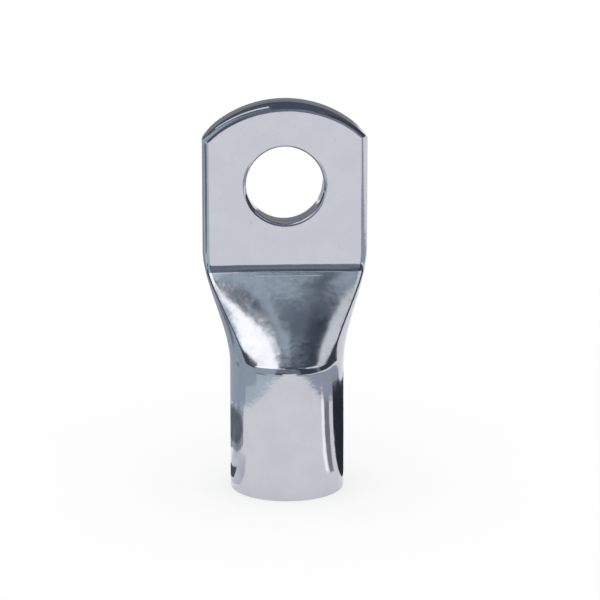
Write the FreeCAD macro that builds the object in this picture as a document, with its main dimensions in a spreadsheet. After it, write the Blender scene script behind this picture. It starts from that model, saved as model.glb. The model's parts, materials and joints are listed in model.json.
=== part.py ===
import FreeCAD, Part
import math
import os
import Sketcher

# A tubular cable lug, in millimetres. It is one length of copper tube, tinned all over. One end is
# left round, to be crimped on a stranded conductor. The other end is pressed flat into a two layer
# palm, cut to an arc at its tip and punched for a stud. Between them the tube folds in a sloping neck.
#
# The frame: the origin is the centre of the barrel's mouth, Z runs up the barrel to the palm's tip,
# X is across the palm, and the palm lies in line with the back of the barrel, at the largest Y.

SIZES = {
    "barrel_od": (19.1, "outside diameter of the tube"),
    "wall": (2.05, "wall of the tube, and thickness of each layer of the palm"),
    "barrel_length": (22.5, "mouth of the barrel to the corner of the shoulder"),
    "press_angle": (47, "slope of the neck's front against the barrel's axis, degrees"),
    "crease_angle": (48, "where the neck's creases start, round the barrel from its front, degrees"),
    "shoulder_radius": (2.0, "round at the shoulder, where the slope leaves the barrel"),
    "bend_radius": (2.4, "hollow round where the slope meets the palm's front"),
    "neck_run_out": (3.1, "from the bend to where the palm reaches its full width"),
    "palm_width": (27.8, "width of the palm"),
    "fold_radius": (1.15, "round of the fold on the front side of the palm"),
    "bend_to_hole": (14.2, "bend to the centre of the stud hole"),
    "hole_to_tip": (14.15, "centre of the stud hole to the tip of the palm"),
    "tip_radius": (18.7, "arc of the palm's tip"),
    "tip_roll": (1.5, "round that cutting leaves on the front edge of the tip, at its middle"),
    "roll_rise": (0.12, "how far past the tip that round would end, so that it meets the cut at an edge"),
    "stud_hole": (13.0, "diameter of the stud hole"),
    "hole_chamfer": (0.7, "chamfer on the front rim of the stud hole"),
    "seam_gap": (0.13, "gap between the palm's two layers where a cut edge shows it"),
    "seam_depth": (0.55, "how deep that gap goes in from the edge"),
    "lead_in": (0.8, "chamfer inside the mouth, for the strands"),
    "mouth_chamfer": (0.3, "chamfer on the outer edge of the mouth"),
}

# Places that follow from the sizes
RADIUS = "(Sizes.barrel_od / 2)"
HALF_WIDTH = "(Sizes.palm_width / 2)"
BORE = f"({RADIUS} - Sizes.wall)"
SEAM = BORE
PALM_FRONT = f"({RADIUS} - 2 * Sizes.wall)"
HALF_TURN = "tan(Sizes.press_angle / 2)"
NECK_START = f"(Sizes.barrel_length - Sizes.shoulder_radius * {HALF_TURN})"
BEND = f"(Sizes.barrel_length + ({PALM_FRONT} + {RADIUS}) / tan(Sizes.press_angle))"
BEND_END = f"({BEND} + Sizes.bend_radius * {HALF_TURN})"
NECK_END = f"({BEND} + Sizes.neck_run_out)"
CAVITY_START = f"(Sizes.barrel_length - Sizes.wall * {HALF_TURN})"
CAVITY_END = f"({BEND} - Sizes.wall * {HALF_TURN})"
HOLE = f"({BEND} + Sizes.bend_to_hole)"
HOLE_RADIUS = "(Sizes.stud_hole / 2)"
TIP = f"({HOLE} + Sizes.hole_to_tip)"
TIP_CENTRE = f"({TIP} - Sizes.tip_radius)"

# The round on the tip fades out at the palm's corners, so it runs along a flatter arc than the tip's
CORNER = f"({HALF_WIDTH} - Sizes.fold_radius)"
TIP_DROP = f"(Sizes.tip_radius - sqrt(Sizes.tip_radius ^ 2 - {CORNER} ^ 2))"
ROLL_DROP = f"({TIP_DROP} + Sizes.roll_rise - Sizes.tip_roll)"
ROLL_ARC = f"(({CORNER} ^ 2 + {ROLL_DROP} ^ 2) / (2 * {ROLL_DROP}))"
ROLL_CENTRE = f"({TIP} + Sizes.roll_rise - {ROLL_ARC})"

# Where the sections stand, as shares of a round's turn and of a straight's length
ROUND_STATIONS = (0.35, 0.7, 1)
SLOPE_STATIONS = (0.25, 0.5, 0.75)
RUN_OUT_STATIONS = (0, 0.5, 1)
CAVITY_STATIONS = (0.35, 0.7, 1)

# Where the round sections are divided, in degrees, to match the next section's flats and folds
CREASE_HALF = 3
BACK_HALF = 1

# How fast the creases sharpen, from the round of the barrel to the palm's fold
CREASE_FADE = 14

# Drawn past the solid's faces, so that a cut leaves no skin
SPARE = "(Sizes.wall / 2)"
BEFORE = f"({PALM_FRONT} - {SPARE})"

UP = FreeCAD.Vector(0, 0, 1)
QUARTER = math.pi / 2

document = FreeCAD.newDocument("cable_lug")
sheet = document.addObject("Spreadsheet::Sheet", "Sizes")
for row, (name, (number, meaning)) in enumerate(SIZES.items(), start=1):
    sheet.set(f"A{row}", name)
    sheet.set(f"B{row}", str(number))
    sheet.setAlias(f"B{row}", name)
    sheet.set(f"C{row}", meaning)
document.recompute()

body = document.addObject("PartDesign::Body", "cable_lug")
body.Label = "cable_lug"


# Helpers

def value(expression):
    """The number that an expression gives now."""
    return float(sheet.evalExpression(expression))


def point(x, y):
    return FreeCAD.Vector(x, y, 0)


def arc(centre, radius, start, end):
    """An anticlockwise arc between two angles in radians."""
    return Part.ArcOfCircle(Part.Circle(centre, UP, radius), start, end)


def new_sketch(name, role, out="0", up="0"):
    """A sketch on an origin plane of the body, moved out of that plane and up in it."""
    sketch = body.newObject("Sketcher::SketchObject", name)
    plane = next(item for item in body.Origin.OriginFeatures if item.Role == role)
    sketch.AttachmentSupport = [(plane, "")]
    sketch.MapMode = "FlatFace"
    sketch.setExpression("AttachmentOffset.Base.y", up)
    sketch.setExpression("AttachmentOffset.Base.z", out)
    return sketch


def draw(sketch, geometry):
    return [sketch.addGeometry(item, False) for item in geometry]


def relate(sketch, kind, *places):
    sketch.addConstraint(Sketcher.Constraint(kind, *places))


def drive(sketch, name, number, expression, kind, *places):
    """A named dimension of a sketch: its number now, and the expression that drives it."""
    index = sketch.addConstraint(Sketcher.Constraint(kind, *places, number))
    sketch.renameConstraint(index, name)
    sketch.setExpression(f"Constraints.{name}", expression)


def volume():
    return 0 if body.Shape.isNull() else body.Shape.Volume


def add(kind, name, sizes, **settings):
    """Adds a feature to the body and binds its sizes to expressions. It has to change the solid."""
    made = body.newObject(f"PartDesign::{kind}", name)
    for key, setting in settings.items():
        setattr(made, key, setting)
    for key, expression in sizes.items():
        made.setExpression(key, expression)
    before = volume()
    document.recompute()
    if math.isclose(before, volume(), rel_tol=1e-6):
        raise RuntimeError(f"{name} changed nothing")


# Sections

def circle_sketch(name, radius):
    """A circle in the plane of the mouth."""
    sketch = new_sketch(name, "XY_Plane")
    size = value(radius)
    ring, = draw(sketch, [Part.Circle(point(0, 0), UP, size)])
    relate(sketch, "Coincident", ring, 3, -1, 1)
    drive(sketch, "radius", size, radius, "Radius", ring)
    return sketch


def round_section(name, height, radius, front_marks):
    """A circle made of arcs. The marks divide its front, and are angles from the front."""
    sketch = new_sketch(name, "XY_Plane", out=height)
    size = value(radius)
    marks = [f"180 - {BACK_HALF}"] + list(front_marks)
    turns = [3 * QUARTER - math.radians(value(mark)) for mark in marks]
    turns += [3 * math.pi - turn for turn in reversed(turns)]
    chords = [f"-{radius} * sin({mark})" for mark in marks]
    chords += [f"{radius} * sin({mark})" for mark in reversed(marks)]
    starts = [turns[-1] - 2 * math.pi] + turns[:-1]
    sides = draw(sketch, [arc(point(0, 0), size, a, b) for a, b in zip(starts, turns)])
    back_arc, *others = sides
    for side, following in zip(sides, sides[1:] + sides[:1]):
        relate(sketch, "Coincident", side, 2, following, 1)
    for side in others:
        relate(sketch, "Coincident", side, 3, -1, 1)
    relate(sketch, "Equal", back_arc, others[0])
    drive(sketch, "radius", size, radius, "Radius", others[0])
    for side, chord in zip(sides, chords):
        drive(sketch, f"mark_{side}", value(chord), chord, "DistanceX", side, 2)
    return sketch


def spread_at(height):
    """How far the tube has spread at a height, from 0 at the neck's start to 1 at its end."""
    share = f"(({height} - {NECK_START}) / ({NECK_END} - {NECK_START}))"
    return f"3 * {share} ^ 2 - 2 * {share} ^ 3"


class Skin:
    """The outside or the inside of the tube: its radius, the front it is pressed to, its folds.

    The corner is how far the crease lies in from the side once the tube is flat.
    """

    def __init__(self, depth, pressed_front, corner, folded):
        self.depth = depth
        self.radius = f"({RADIUS} - {depth})"
        self.pressed_front = pressed_front
        self.corner = corner
        self.folded = folded

    def terms(self, height, front):
        """What a section is drawn from, as properties of its sketch.

        spread: how far the tube has spread, from 0 to 1
        press: how far its front is pressed back, from 0 to 1
        side: half its width
        inset: the crease, in from the side
        drop: the crease, forward of the back
        bulge: the middle of the front, forward of the creases
        flank: the arc that leaves the flat of the back smoothly and ends at the crease
        """
        travel = f"({self.pressed_front} + {self.radius})"
        start = f"{self.radius} * (1 + cos(Sizes.crease_angle))"
        end = f"({self.radius} - {self.pressed_front})"
        return {
            "spread": spread_at(height),
            "press": f"({front} + {self.radius}) / {travel}",
            "side": f"{RADIUS} + ({HALF_WIDTH} - {RADIUS}) * spread - {self.depth}",
            "inset": f"{self.radius} * (1 - sin(Sizes.crease_angle)) * (1 - press) + {self.corner} * press",
            "drop": f"{start} * (1 - press) + {end} * press",
            "bulge": f"{self.radius} * (1 - cos(Sizes.crease_angle)) * (1 - press)",
            "flank": "inset + drop - sqrt(2 * inset * drop)",
        }


BACK_FOLD = "(2 * Sizes.wall - Sizes.fold_radius)"
PALM_CORNER = f"({BACK_FOLD} - sqrt({BACK_FOLD} ^ 2 - Sizes.fold_radius ^ 2))"
SEAM_CORNER = "(Sizes.wall / 5)"
OUTSIDE = Skin("0", PALM_FRONT, PALM_CORNER, True)
INSIDE = Skin("Sizes.wall", f"({SEAM} - Sizes.seam_gap)", SEAM_CORNER, False)


def crease_centre(flank_centre, flank, front_centre, bow, fold, low):
    """Where a fold's arc is centred, which touches the flank's arc and the front from inside."""
    if bow is None:
        rise = low + fold - flank_centre.y
        return point(flank_centre.x + math.sqrt((flank - fold) ** 2 - rise ** 2), low + fold)
    across = front_centre - flank_centre
    along = ((flank - fold) ** 2 - (bow - fold) ** 2 + across.Length ** 2) / (2 * across.Length)
    aside = math.sqrt((flank - fold) ** 2 - along ** 2)
    across.normalize()
    return flank_centre + across * along + UP.cross(across) * -aside


def tube_section(name, height, front, skin, flat_front=False):
    """The pressed tube across: a flat back, two flanks, their folds, and a bulging or flat front."""
    sketch = new_sketch(name, "XY_Plane", out=height)
    terms = skin.terms(height, front)
    if skin.folded:
        fade = f"({RADIUS} - Sizes.fold_radius) * (1 - press) ^ {CREASE_FADE}"
        terms["fold"] = f"Sizes.fold_radius + {fade}"
    if not flat_front:
        terms["bow"] = "((side - inset) ^ 2 + bulge ^ 2) / (2 * bulge)"
    for term, expression in terms.items():
        sketch.addProperty("App::PropertyFloat", term, "Section")
        sketch.setExpression(term, expression)
    sketch.recompute()

    back = value(skin.radius)
    low = value(front)
    flank = sketch.flank
    flat = sketch.side - flank
    fold = sketch.fold if skin.folded else 0
    bow = None if flat_front else sketch.bow
    flank_centre = point(flat, back - flank)
    front_centre = None if flat_front else point(0, low + bow)
    centre = crease_centre(flank_centre, flank, front_centre, bow, fold, low)
    flank_end = math.atan2(centre.y - flank_centre.y, centre.x - flank_centre.x)
    front_end = -QUARTER if flat_front else math.atan2(centre.y - front_centre.y, centre.x)

    def mirrored(spot):
        return point(-spot.x, spot.y)

    geometry = [
        Part.LineSegment(point(flat, back), point(-flat, back)),
        arc(mirrored(flank_centre), flank, QUARTER, math.pi - flank_end),
    ]
    if skin.folded:
        geometry.append(arc(mirrored(centre), fold, math.pi - flank_end, math.pi - front_end))
    if flat_front:
        geometry.append(Part.LineSegment(point(-centre.x, low), point(centre.x, low)))
    else:
        geometry.append(arc(front_centre, bow, math.pi - front_end, 2 * math.pi + front_end))
    if skin.folded:
        geometry.append(arc(centre, fold, front_end, flank_end))
    geometry.append(arc(flank_centre, flank, flank_end, QUARTER))

    sides = draw(sketch, geometry)
    back_side, left_flank = sides[:2]
    right_flank = sides[-1]
    front_side = sides[len(sides) // 2]
    for side, following in zip(sides, sides[1:] + sides[:1]):
        smooth = skin.folded or back_side in (side, following)
        relate(sketch, "Tangent" if smooth else "Coincident", side, 2, following, 1)
    relate(sketch, "Symmetric", back_side, 1, back_side, 2, -2)
    drive(sketch, "back", back, skin.radius, "DistanceY", back_side, 1)
    drive(sketch, "flat", flat, "side - flank", "DistanceX", back_side, 1)
    drive(sketch, "flank_radius", flank, "flank", "Radius", right_flank)
    if skin.folded or not flat_front:
        relate(sketch, "Equal", left_flank, right_flank)
    if skin.folded:
        left_fold, right_fold = sides[2], sides[4]
        drive(sketch, "fold_radius", fold, "fold", "Radius", right_fold)
    if flat_front:
        relate(sketch, "Symmetric", front_side, 1, front_side, 2, -2)
        drive(sketch, "front", low, front, "DistanceY", front_side, 1)
    else:
        relate(sketch, "PointOnObject", front_side, 3, -2)
        drive(sketch, "bow_radius", bow, "bow", "Radius", front_side)
        drive(sketch, "bow_centre", front_centre.y, f"{front} + bow", "DistanceY", front_side, 3)
        if skin.folded:
            relate(sketch, "Equal", left_fold, right_fold)
    return sketch


def neck_stations():
    """Height and front of each section: the shoulder's round, the slope, the bend's round."""
    turns = [f"({share} * Sizes.press_angle)" for share in ROUND_STATIONS]
    shoulder = [
        (
            f"({NECK_START} + Sizes.shoulder_radius * sin({turn}))",
            f"(Sizes.shoulder_radius * (1 - cos({turn})) - {RADIUS})",
        )
        for turn in turns
    ]
    bend = [
        (
            f"({BEND_END} - Sizes.bend_radius * sin({turn}))",
            f"({PALM_FRONT} - Sizes.bend_radius * (1 - cos({turn})))",
        )
        for turn in reversed(turns)
    ]
    low, low_front = shoulder[-1]
    high, high_front = bend[0]
    slope = [
        (
            f"({low} + {share} * ({high} - {low}))",
            f"({low_front} + {share} * ({high_front} - {low_front}))",
        )
        for share in SLOPE_STATIONS
    ]
    return shoulder + slope + bend


def cavity_stations():
    """Height and front of each section of the cavity, up to the closed seam."""
    travel = f"(2 * {BORE} - Sizes.seam_gap)"
    return [
        (
            f"({CAVITY_START} + {share} * ({CAVITY_END} - {CAVITY_START}))",
            f"({share} * {travel} - {BORE})",
        )
        for share in CAVITY_STATIONS
    ]


def turned_outline(name, height, corners, roll=None):
    """A closed outline of what a cut through the palm takes away, to be turned about an axis.

    The axis runs through the palm at a height. Each corner has its place along that axis and its
    distance from it. The side that closes the outline is straight, or an arc of the roll's radius.
    """
    sketch = new_sketch(name, "YZ_Plane", up=height)
    spots = [point(value(along), value(away)) for along, away in corners]
    sides = draw(sketch, [Part.LineSegment(start, end) for start, end in zip(spots, spots[1:])])
    for side, following in zip(sides, sides[1:]):
        relate(sketch, "Coincident", side, 2, following, 1)
    for number, (spot, (along, away)) in enumerate(zip(spots, corners)):
        side, end = (sides[number], 1) if number < len(sides) else (sides[-1], 2)
        drive(sketch, f"along_{number}", spot.x, along, "DistanceX", side, end)
        drive(sketch, f"away_{number}", spot.y, away, "DistanceY", side, end)
    first, last = spots[0], spots[-1]
    if roll:
        closing, = draw(sketch, [arc(point(first.x, last.y), value(roll), QUARTER, math.pi)])
        drive(sketch, "roll", value(roll), roll, "Radius", closing)
    else:
        closing, = draw(sketch, [Part.LineSegment(first, last)])
    relate(sketch, "Coincident", closing, 1, sides[0], 1)
    relate(sketch, "Coincident", closing, 2, sides[-1], 2)
    return sketch


def cut_face(name, height, radius, inward, far):
    """The waste on one side of a cut face, out to a far radius, with the seam that it lays open."""
    behind = f"({RADIUS} + {SPARE})"
    seam_front = f"({SEAM} - Sizes.seam_gap / 2)"
    seam_back = f"({SEAM} + Sizes.seam_gap / 2)"
    seam_floor = f"({radius} {inward} Sizes.seam_depth)"
    return turned_outline(name, height, [
        (BEFORE, radius),
        (seam_front, radius),
        (seam_front, seam_floor),
        (seam_back, seam_floor),
        (seam_back, radius),
        (behind, radius),
        (behind, far),
        (BEFORE, far),
    ])


def rolled_edge():
    """The waste beyond the round on the tip's front edge."""
    start = f"({PALM_FRONT} + Sizes.tip_roll)"
    end = f"({ROLL_ARC} - Sizes.tip_roll)"
    far = f"({ROLL_ARC} + {SPARE})"
    return turned_outline("tip_roll_cut", ROLL_CENTRE, [
        (start, ROLL_ARC),
        (start, far),
        (BEFORE, far),
        (BEFORE, end),
        (PALM_FRONT, end),
    ], roll="Sizes.tip_roll")


def circle_edges(radius, axis, place):
    """Names of the circles of a radius whose centres lie at a place along an axis."""
    return [
        f"Edge{number}"
        for number, edge in enumerate(body.Shape.Edges, start=1)
        if isinstance(edge.Curve, Part.Circle)
        and math.isclose(edge.Curve.Radius, value(radius), abs_tol=1e-4)
        and math.isclose(getattr(edge.CenterOfMass, axis), value(place), abs_tol=1e-4)
    ]


# The barrel, a round length of tube, solid at first
add("Pad", "barrel", {"Length": NECK_START}, Profile=circle_sketch("barrel_outline", RADIUS))

# The neck, where the tube is pressed from round to flat
fold_marks = (f"Sizes.crease_angle + {CREASE_HALF}", f"Sizes.crease_angle - {CREASE_HALF}")
neck = [round_section("neck_0", NECK_START, RADIUS, fold_marks)]
for height, front in neck_stations():
    neck.append(tube_section(f"neck_{len(neck)}", height, front, OUTSIDE))
for share in RUN_OUT_STATIONS:
    height = f"({BEND_END} + {share} * ({NECK_END} - {BEND_END}))"
    neck.append(tube_section(f"neck_{len(neck)}", height, PALM_FRONT, OUTSIDE, flat_front=True))
document.recompute()
add("AdditiveLoft", "neck", {}, Profile=neck[0], Sections=neck[1:])

# The palm, two layers of the tube's wall pressed together
palm_outline = tube_section("palm_outline", NECK_END, PALM_FRONT, OUTSIDE, flat_front=True)
add("Pad", "palm", {"Length": f"{TIP} - {NECK_END}"}, Profile=palm_outline)

# The bore, and the cavity that closes behind the slope of the neck
bore_outline = circle_sketch("bore_outline", BORE)
add("Pocket", "bore", {"Length": CAVITY_START}, Profile=bore_outline, Reversed=True)
cavity = [round_section("cavity_0", CAVITY_START, BORE, ("Sizes.crease_angle",))]
for height, front in cavity_stations():
    closed = len(cavity) == len(CAVITY_STATIONS)
    cavity.append(tube_section(f"cavity_{len(cavity)}", height, front, INSIDE, flat_front=closed))
document.recompute()
add("SubtractiveLoft", "cavity", {}, Profile=cavity[0], Sections=cavity[1:], Ruled=True)

# The tip, cut to its arc from the front, which rounds its front edge
tip = cut_face("tip_cut", TIP_CENTRE, "Sizes.tip_radius", "-", f"(Sizes.tip_radius + {HALF_WIDTH})")
add("Groove", "tip", {"Angle": "180"}, Profile=tip, ReferenceAxis=(tip, ["H_Axis"]), Midplane=True)
roll = rolled_edge()
add("Groove", "tip_roll", {"Angle": "180"}, Profile=roll, ReferenceAxis=(roll, ["H_Axis"]), Midplane=True)

# The stud hole, punched through both layers, with a chamfered front rim
hole = cut_face("hole_cut", HOLE, HOLE_RADIUS, "+", "0")
add("Groove", "stud_hole", {"Angle": "360"}, Profile=hole, ReferenceAxis=(hole, ["H_Axis"]))
hole_rim = circle_edges(HOLE_RADIUS, "y", PALM_FRONT)
add("Chamfer", "hole_rim", {"Size": "Sizes.hole_chamfer"}, Base=(body.Tip, hole_rim))

# The mouth: a lead in for the strands, and a broken outer edge
add("Chamfer", "lead_in", {"Size": "Sizes.lead_in"}, Base=(body.Tip, circle_edges(BORE, "z", "0")))
mouth_edge = circle_edges(RADIUS, "z", "0")
add("Chamfer", "mouth_edge", {"Size": "Sizes.mouth_chamfer"}, Base=(body.Tip, mouth_edge))

for item in document.Objects:
    if "Invalid" in item.State or "Error" in item.State:
        raise RuntimeError(f"{item.Name} failed: {item.State}")
shape = body.Shape
if shape.isNull() or not shape.isValid() or len(shape.Solids) != 1:
    raise RuntimeError("the lug is not one sound solid")

os.makedirs("parts", exist_ok=True)
shape.exportStep(f"parts/{body.Label}.step")
print(f"{body.Label}: {shape.Volume:.1f} mm3, {len(shape.Faces)} faces")
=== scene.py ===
import json
import math

import bmesh
import bpy
from mathutils import Matrix, Vector


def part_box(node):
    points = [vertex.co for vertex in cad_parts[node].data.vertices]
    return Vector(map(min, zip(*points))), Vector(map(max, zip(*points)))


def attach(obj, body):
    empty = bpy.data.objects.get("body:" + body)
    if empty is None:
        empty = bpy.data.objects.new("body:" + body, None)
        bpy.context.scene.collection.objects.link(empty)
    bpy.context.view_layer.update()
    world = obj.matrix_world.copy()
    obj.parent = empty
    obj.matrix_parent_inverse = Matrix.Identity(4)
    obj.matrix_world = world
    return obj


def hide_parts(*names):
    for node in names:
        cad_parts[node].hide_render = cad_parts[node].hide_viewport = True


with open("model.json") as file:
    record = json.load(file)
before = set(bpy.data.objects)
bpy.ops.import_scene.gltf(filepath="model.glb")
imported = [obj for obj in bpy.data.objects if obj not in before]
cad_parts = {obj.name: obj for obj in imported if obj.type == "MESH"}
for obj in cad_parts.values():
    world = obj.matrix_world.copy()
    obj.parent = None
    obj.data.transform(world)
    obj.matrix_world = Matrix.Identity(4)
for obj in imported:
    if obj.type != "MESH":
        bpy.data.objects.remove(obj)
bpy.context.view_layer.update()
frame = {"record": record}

# The lug is drawn in millimetres, in the frame of its model, and then scaled to metres. Its origin
# is the centre of the barrel's mouth, Z runs up to the palm's tip, and the palm's back is at +Y.

MM = 0.001
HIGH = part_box("cable_lug")[1] / MM
MOUNTS = {mount["name"]: mount for mount in frame["record"]["mounts"]}

RADIUS = HIGH.y
BORE = MOUNTS["cable_bore"]["dims"]["r_mm"]
WALL = RADIUS - BORE
HALF_WIDTH = HIGH.x
PALM_FRONT = RADIUS - 2 * WALL
TIP = HIGH.z
HOLE = MOUNTS["stud_hole"]["pos_m"][2] / MM
HOLE_RADIUS = MOUNTS["stud_hole"]["dims"]["r_mm"]

# The neck, where the tube is pressed from round to flat
PRESS_ANGLE = math.radians(47)
CREASE_ANGLE = math.radians(48)
SHOULDER = 22.5
SHOULDER_RADIUS = 2.0
BEND_RADIUS = 2.4
RUN_OUT = 3.1
FOLD_RADIUS = 1.15
CREASE_FADE = 14

# A painted highlight: a thin line of lighter, rougher tin across the slope just under the bend
HIGHLIGHT_UNDER_BEND = 1.1
HIGHLIGHT_WIDTH = 0.12
HIGHLIGHT_LEFT, HIGHLIGHT_RIGHT = -4.6, 5.4
HIGHLIGHT_SOFT = 0.06

# The edges that are cut, punched or broken. The round on the tip fades towards the palm's corners,
# so it runs along a flatter arc than the tip's.
TIP_RADIUS = 18.7
TIP_ROLL = 1.7
ROLL_ARC = 20.5
ROLL_RISE = 0.12
ROLL_ASIDE = 0.3
HOLE_ROLL = 0.7
SEAM_GAP = 0.13
SEAM_DEPTH = 0.55
LEAD_IN = 0.8
MOUTH_EDGE = 0.3
SHARP_EDGE = math.radians(28)

# How far the cuts run past what they cut
SPARE = 1.0

HALF_TURN = math.tan(PRESS_ANGLE / 2)
NECK_START = SHOULDER - SHOULDER_RADIUS * HALF_TURN
BEND = SHOULDER + (PALM_FRONT + RADIUS) / math.tan(PRESS_ANGLE)
BEND_END = BEND + BEND_RADIUS * HALF_TURN
NECK_END = BEND + RUN_OUT
CAVITY_START = SHOULDER - WALL * HALF_TURN
CAVITY_END = BEND - WALL * HALF_TURN
CAVITY_CORNER = WALL / 5
TIP_CENTRE = TIP - TIP_RADIUS
QUARTER = math.pi / 2
FLAT = 1e-6

# How finely the sections and the turned cuts are divided, and the spans of the round section
# whose points go to the back and to a fold of the pressed one
BACK_STEPS = 10
FLANK_STEPS = 44
FOLD_STEPS = 14
FRONT_STEPS = 40
BACK_SPAN = math.radians(1)
FOLD_SPAN = 0.05
ROUND_STEPS = 22
SLOPE_STEP = 0.25
STRAIGHT_STEP = 0.8
TURNED_STEPS = 180
SIDE_TURN = math.radians(65)
ROLL_STEPS = 8


# Outlines

def steps_between(start, end, steps):
    """Evenly spaced numbers from start to end, both included."""
    return [start + (end - start) * step / steps for step in range(steps + 1)]


def spaced(start, end, step):
    return steps_between(start, end, max(1, round(abs(end - start) / step)))


def arc(centre, radius, start, end, steps):
    """Points along an arc, without its first."""
    return [
        Vector((centre[0] + radius * math.cos(angle), centre[1] + radius * math.sin(angle)))
        for angle in steps_between(start, end, steps)[1:]
    ]


def line(start, end, steps):
    """Points along a line, without its first."""
    return [Vector(start).lerp(Vector(end), share) for share in steps_between(0, 1, steps)[1:]]


def half_round(radius, fold):
    """The right half of a circle, from the middle of its back to the middle of its front."""
    stops = [QUARTER, QUARTER - BACK_SPAN]
    stops += [CREASE_ANGLE + FOLD_SPAN - QUARTER, CREASE_ANGLE - FOLD_SPAN - QUARTER]
    counts = [BACK_STEPS, FLANK_STEPS, FOLD_STEPS, FRONT_STEPS]
    if not fold:
        stops[3] = stops[2]
    points = [Vector((0, radius))]
    for start, end, steps in zip(stops, stops[1:] + [-QUARTER], counts):
        if start != end:
            points += arc((0, 0), radius, start, end, steps)
    return points


def crease_centre(flank_centre, flank, front, bow, fold):
    """Where a fold's arc is centred, which touches the flank's arc and the front from inside."""
    if bow is None:
        rise = front + fold - flank_centre.y
        return Vector((flank_centre.x + math.sqrt((flank - fold) ** 2 - rise ** 2), front + fold))
    across = Vector((0, front + bow)) - flank_centre
    along = ((flank - fold) ** 2 - (bow - fold) ** 2 + across.length_squared) / (2 * across.length)
    aside = math.sqrt(max((flank - fold) ** 2 - along ** 2, 0))
    across.normalize()
    return flank_centre + across * along + Vector((across.y, -across.x)) * aside


def half_pressed(z, front, depth, pressed_front, corner, fold):
    """The right half of the pressed tube across, from the middle of its back to its front.

    The section has a flat back, a flank that leaves it smoothly, a fold where it has one, and a
    front that bows less and less as it is pressed back.
    """
    radius = RADIUS - depth
    share = min((z - NECK_START) / (NECK_END - NECK_START), 1)
    spread = 3 * share ** 2 - 2 * share ** 3
    press = (front + radius) / (pressed_front + radius)
    side = RADIUS + (HALF_WIDTH - RADIUS) * spread - depth
    inset = radius * (1 - math.sin(CREASE_ANGLE)) * (1 - press) + corner * press
    drop = radius * (1 + math.cos(CREASE_ANGLE)) * (1 - press) + (radius - pressed_front) * press
    bulge = radius * (1 - math.cos(CREASE_ANGLE)) * (1 - press)
    flank = inset + drop - math.sqrt(2 * inset * drop)
    flank_centre = Vector((side - flank, radius - flank))
    bow = None if bulge < FLAT else ((side - inset) ** 2 + bulge ** 2) / (2 * bulge)
    crease = centre = Vector((side - inset, radius - drop))
    if fold:
        fold = fold + (RADIUS - fold) * (1 - press) ** CREASE_FADE
        centre = crease_centre(flank_centre, flank, front, bow, fold)
    flank_end = math.atan2(centre.y - flank_centre.y, centre.x - flank_centre.x)
    front_end = -QUARTER if bow is None else math.atan2(centre.y - front - bow, centre.x)

    points = [Vector((0, radius))] + line((0, radius), (flank_centre.x, radius), BACK_STEPS)
    points += arc(flank_centre, flank, QUARTER, flank_end, FLANK_STEPS)
    if fold:
        points += arc(centre, fold, flank_end, front_end, FOLD_STEPS)
        crease = points[-1]
    if bow is None:
        return points + line(crease, (0, front), FRONT_STEPS)
    return points + arc((0, front + bow), bow, front_end, -QUARTER, FRONT_STEPS)


def ring(half, z):
    """A closed ring of points at a height, from the right half of its outline."""
    whole = half + [Vector((-spot.x, spot.y)) for spot in reversed(half[1:-1])]
    return [Vector((spot.x, spot.y, z)) for spot in whole]


def outside_rings():
    """The outside of the tube, from the mouth up past the tip."""
    rings = []
    for turn in steps_between(0, QUARTER, ROLL_STEPS):
        radius = RADIUS - MOUTH_EDGE * (1 - math.sin(turn))
        rings.append(ring(half_round(radius, True), MOUTH_EDGE * (1 - math.cos(turn))))
    for z in spaced(MOUTH_EDGE, NECK_START, STRAIGHT_STEP)[1:]:
        rings.append(ring(half_round(RADIUS, True), z))

    back_fold = 2 * WALL - FOLD_RADIUS
    corner = back_fold - math.sqrt(back_fold ** 2 - FOLD_RADIUS ** 2)
    low = NECK_START + SHOULDER_RADIUS * math.sin(PRESS_ANGLE)
    high = BEND_END - BEND_RADIUS * math.sin(PRESS_ANGLE)
    shoulder = [
        (NECK_START + SHOULDER_RADIUS * math.sin(turn), SHOULDER_RADIUS * (1 - math.cos(turn)) - RADIUS)
        for turn in steps_between(0, PRESS_ANGLE, ROUND_STEPS)[1:]
    ]
    slope = [
        (z, (z - SHOULDER) * math.tan(PRESS_ANGLE) - RADIUS)
        for z in spaced(low, high, SLOPE_STEP)[1:-1]
    ]
    bend = [
        (BEND_END - BEND_RADIUS * math.sin(turn), PALM_FRONT - BEND_RADIUS * (1 - math.cos(turn)))
        for turn in steps_between(PRESS_ANGLE, 0, ROUND_STEPS)
    ]
    palm = [(z, PALM_FRONT) for z in spaced(BEND_END, NECK_END, SLOPE_STEP)[1:]]
    palm += [(z, PALM_FRONT) for z in spaced(NECK_END, TIP + SPARE, STRAIGHT_STEP)[1:]]
    for z, front in shoulder + slope + bend + palm:
        rings.append(ring(half_pressed(z, front, 0, PALM_FRONT, corner, FOLD_RADIUS), z))
    return rings


def inside_rings():
    """The bore with its lead in, and the cavity that closes to the palm's seam."""
    rings = [
        ring(half_round(BORE + LEAD_IN + SPARE, False), -SPARE),
        ring(half_round(BORE, False), LEAD_IN),
    ]
    for z in spaced(LEAD_IN, CAVITY_START, STRAIGHT_STEP)[1:]:
        rings.append(ring(half_round(BORE, False), z))
    closed = BORE - SEAM_GAP
    for z in spaced(CAVITY_START, CAVITY_END, STRAIGHT_STEP)[1:]:
        front = (z - CAVITY_START) / (CAVITY_END - CAVITY_START) * (closed + BORE) - BORE
        rings.append(ring(half_pressed(z, front, WALL, closed, CAVITY_CORNER, None), z))
    return rings


# The profiles of the cuts through the palm, as places along a cut's axis and distances from it.
# Inward is where the palm lies from the cut face: 1 away from the axis, and -1 towards it.

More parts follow.
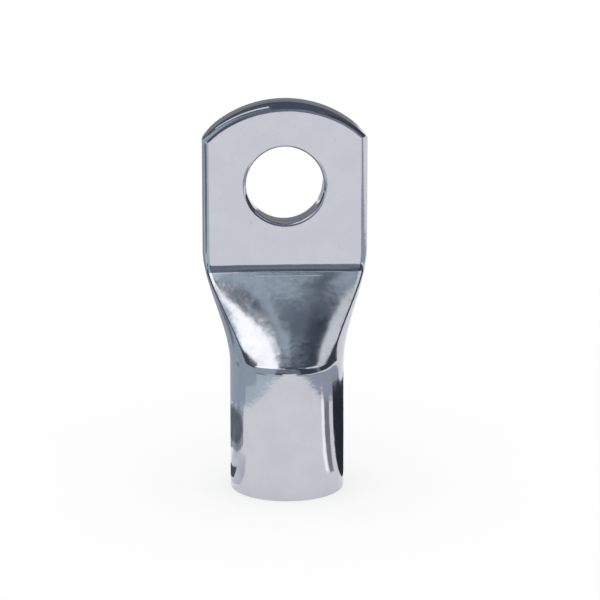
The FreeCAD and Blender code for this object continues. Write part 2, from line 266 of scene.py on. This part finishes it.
def rounded_edge(radius, roll, inward):
    """The round on a cut face's front edge, from the face to the palm's front and out before it."""
    centre = (PALM_FRONT + roll, radius + inward * roll)
    points = [Vector((PALM_FRONT + roll, radius))]
    points += arc(centre, roll, math.pi + inward * QUARTER, math.pi, ROLL_STEPS)
    return points + [Vector((PALM_FRONT - SPARE, radius + inward * roll))]


def seam_notch(radius, inward):
    """The seam that a cut face lays open, from the palm's back layer round to its front one."""
    front, back = BORE - SEAM_GAP / 2, BORE + SEAM_GAP / 2
    bottom = radius + inward * SEAM_DEPTH
    corners = [(back, radius), (back, bottom), (front, bottom), (front, radius)]
    return [Vector(corner) for corner in corners]


def tip_cut():
    near, far = PALM_FRONT - SPARE, RADIUS + SPARE
    out = TIP_RADIUS + HALF_WIDTH
    corners = [(near, TIP_RADIUS), (near, out), (far, out), (far, TIP_RADIUS)]
    return [Vector(corner) for corner in corners] + seam_notch(TIP_RADIUS, -1)


def tip_round():
    far = ROLL_ARC + SPARE
    ends = [Vector((PALM_FRONT - SPARE, far)), Vector((PALM_FRONT + TIP_ROLL, far))]
    return rounded_edge(ROLL_ARC, TIP_ROLL, -1) + ends


def hole_cut():
    """The hole's side, from behind the palm to in front of it."""
    back = [Vector((RADIUS + SPARE, HOLE_RADIUS))]
    return back + seam_notch(HOLE_RADIUS, 1) + rounded_edge(HOLE_RADIUS, HOLE_ROLL, 1)


# Meshes

def new_object(name, mesh):
    data = bpy.data.meshes.new(name)
    bmesh.ops.recalc_face_normals(mesh, faces=mesh.faces)
    mesh.to_mesh(data)
    mesh.free()
    made = bpy.data.objects.new(name, data)
    bpy.context.scene.collection.objects.link(made)
    return made


def stretched(name, rings):
    """A closed mesh through rings of as many points each, capped at its ends."""
    mesh = bmesh.new()
    rows = [[mesh.verts.new(spot) for spot in points] for points in rings]
    for row, following in zip(rows, rows[1:]):
        for near, far in zip(range(len(row)), list(range(1, len(row))) + [0]):
            mesh.faces.new((row[near], following[near], following[far], row[far]))
    mesh.faces.new(rows[0])
    mesh.faces.new(rows[-1])
    return new_object(name, mesh)


def turned_place(spot, angle, aside, up):
    """A point of a profile, turned about an axis that runs through the palm from front to back."""
    return Vector((aside + spot.y * math.sin(angle), spot.x, up + spot.y * math.cos(angle)))


def sector(name, outline, aside, up):
    """A closed outline turned so far to each side of straight up."""
    angles = steps_between(-SIDE_TURN, SIDE_TURN, TURNED_STEPS)
    rings = [[turned_place(spot, angle, aside, up) for spot in outline] for angle in angles]
    return stretched(name, rings)


def plug(name, side, up):
    """What lies inside a side that is turned all the way round."""
    angles = steps_between(-math.pi, math.pi, TURNED_STEPS)[:-1]
    rings = [[turned_place(spot, angle, 0, up) for angle in angles] for spot in side]
    return stretched(name, rings)


def cut(body, *tools):
    """Takes the tools away from the body."""
    for tool in tools:
        modifier = body.modifiers.new("cut", "BOOLEAN")
        modifier.object = tool
        modifier.operation = "DIFFERENCE"
        modifier.solver = "EXACT"
    bpy.context.view_layer.update()
    depsgraph = bpy.context.evaluated_depsgraph_get()
    mesh = bpy.data.meshes.new_from_object(body.evaluated_get(depsgraph))
    body.modifiers.clear()
    body.data = mesh
    for tool in tools:
        bpy.data.objects.remove(tool)


def make_lug():
    lug = stretched("tinned_lug", outside_rings())
    cut(
        lug,
        stretched("inside", inside_rings()),
        sector("tip", tip_cut(), 0, TIP_CENTRE),
        sector("tip_round", tip_round(), ROLL_ASIDE, TIP + ROLL_RISE - ROLL_ARC),
        plug("hole", hole_cut(), HOLE),
    )
    lug.data.transform(Matrix.Scale(MM, 4))
    return lug


def smooth_with_sharp_edges(piece, angle):
    """Smooth shading that keeps the cut edges sharp and the flat faces flat."""
    mesh = bmesh.new()
    mesh.from_mesh(piece.data)
    for face in mesh.faces:
        face.smooth = True
    for edge in mesh.edges:
        edge.smooth = len(edge.link_faces) == 2 and edge.calc_face_angle(0) < angle
    mesh.to_mesh(piece.data)
    mesh.free()
    weighted = piece.modifiers.new("weighted_normals", "WEIGHTED_NORMAL")
    weighted.keep_sharp = True
    weighted.weight = 100


lug = make_lug()
smooth_with_sharp_edges(lug, SHARP_EDGE)
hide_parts("cable_lug")
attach(lug, "root")


# Materials

class Shading:
    """The nodes of a material, with short calls to add and join them."""

    def __init__(self, name):
        self.material = bpy.data.materials.new(name)
        self.material.use_nodes = True
        self.tree = self.material.node_tree

    def feed(self, socket, source):
        """Joins a source to a socket, or sets the socket to a plain value."""
        if isinstance(source, bpy.types.NodeSocket):
            self.tree.links.new(source, socket)
        else:
            socket.default_value = source

    def node(self, kind, inputs=None, **settings):
        made = self.tree.nodes.new(f"ShaderNode{kind}")
        for name, setting in settings.items():
            setattr(made, name, setting)
        for name, source in (inputs or {}).items():
            self.feed(made.inputs[name], source)
        return made

    def surface(self, inputs):
        """Feeds the shader that the material starts with."""
        for name, source in inputs.items():
            self.feed(self.tree.nodes["Principled BSDF"].inputs[name], source)

    def noise(self, place, scale, detail=2, stretch=(1, 1, 1)):
        """Noise in so many patches to a metre, drawn out along an axis where the stretch is below 1."""
        mapped = self.node("Mapping", {"Vector": place, "Scale": stretch}).outputs["Vector"]
        inputs = {"Vector": mapped, "Scale": scale, "Detail": detail}
        return self.node("TexNoise", inputs).outputs["Fac"]

    def ramp(self, source, low, high, start, end):
        """A source's range from low to high, carried to a range from start to end."""
        inputs = {"Value": source, "From Min": low, "From Max": high, "To Min": start, "To Max": end}
        return self.node("MapRange", inputs).outputs["Result"]

    def band(self, source, low, high, soft):
        """1 where a source is between low and high, falling to 0 over a soft width on either side."""
        rise = self.ramp(source, low - soft, low, 0, 1)
        return self.product(rise, self.ramp(source, high, high + soft, 1, 0))

    def math(self, operation, first, second):
        made = self.node("Math", operation=operation)
        for socket, source in zip(made.inputs, (first, second)):
            self.feed(socket, source)
        return made.outputs["Value"]

    def product(self, first, second):
        return self.math("MULTIPLY", first, second)

    def total(self, first, *others):
        for other in others:
            first = self.math("ADD", first, other)
        return first

    def blend(self, share, first, second):
        mix = self.node("Mix", data_type="RGBA")
        sockets = mix.inputs[0], mix.inputs[6], mix.inputs[7]
        for socket, source in zip(sockets, (share, first, second)):
            self.feed(socket, source)
        return mix.outputs[2]


TIN = (0.575, 0.585, 0.64, 1)
DULL_TIN = (0.54, 0.555, 0.62, 1)
PITS = (0.3, 0.33, 0.38, 1)
STAINS = (0.27, 0.31, 0.36, 1)
# The next colour is a painted highlight: much lighter tin for the bright line across the slope under
# the bend
HIGHLIGHT_TIN = (0.86, 0.9, 0.97, 1)


def pressed_skin(tin, height):
    """The neck's slope, from just under the shoulder to the end of the bend."""
    above = tin.ramp(height, (SHOULDER - 2) * MM, (SHOULDER + 1) * MM, 0, 1)
    return tin.product(above, tin.ramp(height, (BEND_END - 1) * MM, BEND_END * MM, 1, 0))


def painted_highlight_line(tin, axes):
    """A painted highlight line under the bend, on the slope alone and not on the lug's back."""
    low = BEND - HIGHLIGHT_UNDER_BEND - HIGHLIGHT_WIDTH / 2
    line = tin.band(axes["Z"], low * MM, (low + HIGHLIGHT_WIDTH) * MM, HIGHLIGHT_SOFT * MM)
    line = tin.product(line, tin.band(axes["X"], HIGHLIGHT_LEFT * MM, HIGHLIGHT_RIGHT * MM, MM))
    return tin.product(line, tin.ramp(axes["Y"], PALM_FRONT * MM, (PALM_FRONT + 1) * MM, 1, 0))


def tin_plate():
    """Bright tin on copper: a rippled skin with small pits, dull patches, faint rub marks and a painted
    highlight line.

    The skin is more uneven on the neck's slope, where the press has dragged it. Its relief is in mm.
    """
    tin = Shading("tin_plate")
    place = tin.node("TexCoord").outputs["Object"]
    axes = tin.node("SeparateXYZ", {"Vector": place}).outputs
    pressed = pressed_skin(tin, axes["Z"])
    painted_highlight = painted_highlight_line(tin, axes)
    patches = tin.noise(place, 260, 3)
    specks = tin.noise(place, 1500, 3)
    ripple = tin.noise(place, 300, 2)
    drag = tin.noise(place, 700, 3)
    grain = tin.noise(place, 5200, 2)
    rubs = tin.noise(place, 4200, 1, (1, 1, 0.05))

    colour = tin.blend(tin.ramp(patches, 0.35, 0.65, 0, 1), DULL_TIN, TIN)
    colour = tin.blend(tin.ramp(specks, 0.67, 0.76, 0, 0.3), colour, PITS)
    colour = tin.blend(tin.product(tin.ramp(drag, 0.5, 0.68, 0, 0.12), pressed), colour, STAINS)
    # Painted highlight: lighter tin along the thin line across the slope under the bend
    colour = tin.blend(painted_highlight, colour, HIGHLIGHT_TIN)
    roughness = tin.total(
        tin.ramp(patches, 0.3, 0.7, 0.07, 0.11),
        tin.ramp(rubs, 0.62, 0.72, 0, 0.05),
        tin.product(pressed, tin.ramp(drag, 0.3, 0.7, 0.02, 0.05)),
        tin.product(painted_highlight, 0.35))
    relief = tin.total(
        tin.product(ripple, tin.ramp(pressed, 0, 1, 0.03, 0.035)),
        tin.product(drag, tin.ramp(pressed, 0, 1, 0.001, 0.0015)),
        tin.product(specks, 0.005),
        tin.product(grain, 0.0006))
    bump = tin.node("Bump", {"Height": relief, "Strength": 1, "Distance": MM})
    tin.surface({
        "Metallic": 1, "Base Color": colour, "Roughness": roughness, "Normal": bump.outputs["Normal"],
    })
    return tin.material


lug.data.materials.clear()
lug.data.materials.append(tin_plate())


# The camera, which stands a little to the lug's left and looks a little down

DISTANCE = 0.6037
VIEW_WIDTH = 0.1004
YAW = math.radians(3)
ELEVATION = math.radians(14.8)
AIM = Vector((0.0022, 0, 0.0323))

camera = bpy.data.objects.new("camera", bpy.data.cameras.new("camera"))
bpy.context.scene.collection.objects.link(camera)
bpy.context.scene.camera = camera
back = Vector((
    -math.sin(YAW) * math.cos(ELEVATION), -math.cos(YAW) * math.cos(ELEVATION), math.sin(ELEVATION)))
camera.location = AIM + back * DISTANCE
camera.rotation_euler = (-back).to_track_quat("-Z", "Y").to_euler()
camera.data.lens = camera.data.sensor_width * DISTANCE / VIEW_WIDTH
camera.data.clip_start = 0.01


# The floor, which is white to the camera and in reflections, and still takes a shadow

FLOOR_SIZE = 6
FLOOR_SHADE = 0.35


def white_floor():
    white = Shading("white_floor")
    path = white.node("LightPath").outputs
    seen = white.math("MAXIMUM", path["Is Camera Ray"], path["Is Glossy Ray"])
    seen = white.math("MAXIMUM", seen, path["Is Transmission Ray"])
    white.surface({
        "Base Color": (FLOOR_SHADE, FLOOR_SHADE, FLOOR_SHADE, 1),
        "Roughness": 1,
        "Specular IOR Level": 0,
        "Emission Color": (1, 1, 1, 1),
        "Emission Strength": white.product(seen, 1 - FLOOR_SHADE),
    })
    return white.material


bpy.ops.mesh.primitive_plane_add(size=FLOOR_SIZE)
floor = bpy.context.object
floor.name = "floor"
floor.data.materials.append(white_floor())


# Cards around the lug. Only its reflections see them, and they cast no light or shadow.

# Patches to a metre on mottled cards
SKY_PATCHES = 5
FLOOR_PATCHES = 80

# How a card on the dome is divided: the widest strip in degrees, and the steps up each strip
CARD_ARC = 8
CARD_STEPS = 6


def glow(name, tint, mottle, patches):
    """A plain glow, or one mottled between a tint and a share of it, in so many patches to a metre."""
    shading = Shading(name)
    nodes = shading.tree.nodes
    nodes.remove(nodes["Principled BSDF"])
    emission = shading.node("Emission", {"Color": (*tint, 1)})
    if mottle:
        place = shading.node("TexCoord").outputs["Object"]
        share = shading.ramp(shading.noise(place, patches, 3), 0.3, 0.7, mottle, 1)
        shading.feed(emission.inputs["Strength"], share)
    shading.feed(nodes["Material Output"].inputs["Surface"], emission.outputs["Emission"])
    return shading.material


def card(name, rows, tint, mottle, patches):
    """A card through rows of as many points each, in metres."""
    mesh = bmesh.new()
    rows = [[mesh.verts.new(spot) for spot in row] for row in rows]
    for row, following in zip(rows, rows[1:]):
        for low, high in zip(range(len(row)), range(1, len(row))):
            mesh.faces.new((row[low], following[low], following[high], row[high]))
    made = new_object(name, mesh)
    made.data.materials.append(glow(name, tint, mottle, patches))
    made.visible_camera = made.visible_diffuse = made.visible_shadow = False
    made.visible_transmission = made.visible_volume_scatter = False


def on_dome(bearing, height, distance):
    """A place at a bearing, clockwise from the lug's front, and at a height, both in degrees."""
    turn, tilt = math.radians(bearing), math.radians(height)
    return distance * Vector((
        math.sin(turn) * math.cos(tilt), -math.cos(turn) * math.cos(tilt), math.sin(tilt)))


def sky_card(name, stations, distance, tint, mottle=None):
    """A card on a dome, through stations of a bearing, a lowest height and a highest height."""
    rows = []
    for start, end in zip(stations, stations[1:]):
        for share in steps_between(0, 1, math.ceil((end[0] - start[0]) / CARD_ARC)):
            bearing, low, high = (near + (far - near) * share for near, far in zip(start, end))
            heights = steps_between(low, high, CARD_STEPS)
            rows.append([on_dome(bearing, height, distance) for height in heights])
    card(name, rows, tint, mottle, SKY_PATCHES)


def level_card(name, inner, outer, height, tint, mottle=None):
    """A level card between two lines of as many points, in millimetres."""
    rows = [[Vector((*spot, height)) * MM for spot in pair] for pair in zip(inner, outer)]
    card(name, rows, tint, mottle, FLOOR_PATCHES)


def flag(name, low, high, height, tint):
    """A level oblong card between two corners, in millimetres."""
    level_card(name, [low, (high[0], low[1])], [(low[0], high[1]), high], height, tint)


def upright_card(name, start, end, low, high, tint):
    """A card that stands over a line on the floor, between two heights, in millimetres."""
    rows = [[Vector((*spot, height)) * MM for spot in (start, end)] for height in (low, high)]
    card(name, rows, tint, None, FLOOR_PATCHES)


def level_with(spots, x):
    """Points at one x, each level with one of the others."""
    return [(x, y) for _, y in spots]


# All round: a mottled light ceiling over a darker rim

sky_card("ceiling", [(-180, 0, 90), (180, 0, 90)], 1.6, (0.62, 0.73, 0.79), 0.55)
sky_card("horizon", [(-180, 0, 48), (180, 0, 48)], 1.5, (0.24, 0.27, 0.3))
sky_card("behind", [(120, -5, 60), (240, -5, 60)], 1.4, (0.26, 0.27, 0.285))

# To the left: the white field on the slope, the grey under it, and the crease's dark line

sky_card("left_side", [(-112, -3, 62), (-70, -3, 62)], 1.3, (0.07, 0.08, 0.1))
sky_card(
    "white_card",
    [
        (-72, 32, 52), (-62, 36, 67), (-50, 47, 75), (-40, 53, 77), (-37, 57, 77),
        (-33, 58, 66), (-6, 62, 64),
    ],
    1.1, (1.75, 1.74, 1.72))
sky_card("dark_left", [(-36, 60, 78), (-10, 62, 76.5)], 1.2, (0.13, 0.16, 0.195), 0.6)
sky_card(
    "low_left",
    [(-70, -5, 33), (-60, -5, 37), (-48, -5, 49), (-35, -5, 57), (-26, -5, 59)],
    1.25, (0.43, 0.5, 0.57))

# In front: what the shoulder, the bend and the tip's round show

sky_card("front", [(-26, -2, 61), (24, -2, 61)], 1.2, (0.28, 0.32, 0.39), 0.5)
sky_card("front_low", [(-24, 4, 22), (-7, 4, 22)], 1.1, (0.1, 0.12, 0.15))
sky_card("front_foot", [(-12, -5, 4), (24, -5, 4)], 1.1, (0.04, 0.045, 0.055))
upright_card("front_light", (-36, -200), (55, -200), 0.5, 60, (1, 1, 1))

# To the right: the slope's dark field, its light stripe, and the crease's dark line

sky_card("right_side", [(66, -3, 58), (135, -3, 58)], 1.3, (0.05, 0.06, 0.08))
sky_card("low_right", [(24, -2, 60), (45, -2, 50), (60, -2, 37)], 1.25, (0.06, 0.075, 0.1))
sky_card("mid_right", [(14, 60, 74.5), (28, 57, 73), (34, 57, 60)], 1.25, (0.55, 0.63, 0.7), 0.6)
sky_card(
    "mid_dark", [(16, 74.5, 79), (28, 73, 78), (34, 60, 77), (46, 56, 76)],
    1.23, (0.19, 0.23, 0.28), 0.5)
sky_card(
    "dark_right", [(44, 57, 75), (55, 51, 73), (70, 40, 65), (86, 22, 50)],
    1.2, (0.045, 0.065, 0.09), 0.6)
sky_card(
    "light_right",
    [(28, 58, 66), (36, 54, 64), (45, 49, 60.5), (60, 36, 55), (68, 31, 52), (82, 31, 48)],
    1.1, (0.92, 0.95, 0.95))

# On the floor, in layers: the fields beside the barrel's light front, and the stripes at its sides

LEFT_FIELD = [(-22, -400), (-22, -90), (-39, -72), (-49, -59), (-56, -43), (-60, -25), (-60, 0)]
RIGHT_FIELD = [(42, -400), (41, -86), (49, -65), (59, -44), (62, -23), (63, 0), (60, 40)]

level_card("left_front", LEFT_FIELD, level_with(LEFT_FIELD, -600), 0.2, (0.58, 0.68, 0.72))
level_card("right_front", RIGHT_FIELD, level_with(RIGHT_FIELD, 180), 0.2, (0.42, 0.46, 0.52))
level_card(
    "left_rear",
    [(-60, 0), (-56, 14), (-48, 30), (-36, 42), (-16, 51), (-4, 54)],
    [(-600, 0), (-600, 14), (-600, 90), (-600, 300), (-300, 600), (-4, 600)],
    0.2, (0.43, 0.49, 0.55))
level_card("left_far", [(-120, -160), (-120, -60)], [(-600, -500), (-600, 0)], 0.3, (0.2, 0.22, 0.24))
level_card(
    "left_near", [(-12, -3), (-9.5, 4), (-3, 8)], [(-30, -5), (-29, 6), (-24, 16)],
    0.3, (0.85, 0.87, 0.89), 0.7)
level_card("bright_line", [(20, -9), (64, -28)], [(19, -6), (63, -21)], 0.3, (1.5, 1.5, 1.52))
level_card("dark_line", [(19, -5), (63, -20)], [(19, -1.5), (63, -5)], 0.3, (0.27, 0.28, 0.3))
level_card(
    "right_back", [(12, 2), (9, 9), (5, 14)], [(72, 8), (64, 35), (30, 66)],
    0.3, (0.03, 0.035, 0.045))
level_card(
    "left_blur",
    [(-34, 1), (-27, 8), (-21, 18), (-5, 24)], [(-57, 6), (-52, 22), (-38, 40), (-5, 54)],
    0.35, (0.5, 0.55, 0.58), 0.5)
level_card(
    "left_back",
    [(-44, 4), (-35, 7), (-31, 11), (-25, 19), (-15, 26), (-5, 29)],
    [(-47, 6), (-50, 12), (-47, 22), (-37, 36), (-19, 47), (-5, 50)],
    0.4, (0.2, 0.23, 0.25), 0.6)
level_card(
    "left_foot", [(-12.5, 2), (-9, 6), (-3, 8)], [(-19, 4), (-13, 11), (-3, 15)],
    0.4, (0.09, 0.1, 0.12))
level_card("left_crease", [(-92, 59), (-92, 34)], [(-320, 60), (-320, 44)], 0.45, (0.2, 0.22, 0.25))

# Near the lug: one card beside the left flank, and flags just over the tip and higher up

OVER_TIP = 70
OVER_LUG = 90

upright_card("left_patch", (-25, -16), (-25, 3), 14, 29.3, (0.42, 0.49, 0.55))
flag("tip_flag", (-30, -1.5), (34, 16), OVER_TIP, (0.1, 0.115, 0.14))
flag("tip_line", (-20, 1.6), (-3.5, 4), OVER_TIP - 0.5, (1, 1, 1))
flag("slope_flag", (-2, -15.5), (14, -10), OVER_LUG, (0.15, 0.18, 0.225))
flag("shoulder_flag", (-6, -48), (19, -22), OVER_LUG, (0.09, 0.11, 0.14))
flag("shoulder_edge", (19, -70), (42, -40), OVER_LUG, (0.05, 0.06, 0.08))
level_card(
    "white_edge", [(-14, -19.3), (-7.4, -17.6)], [(-14, -22.5), (-7.4, -21.5)],
    OVER_LUG, (1.5, 1.5, 1.5))


# A plain white world, and the plain view of it

scene = bpy.context.scene
scene.view_settings.view_transform = "Standard"
scene.world = bpy.data.worlds.new("studio")
scene.world.use_nodes = True
background = scene.world.node_tree.nodes["Background"]
background.inputs["Color"].default_value = (1, 1, 1, 1)
background.inputs["Strength"].default_value = 1
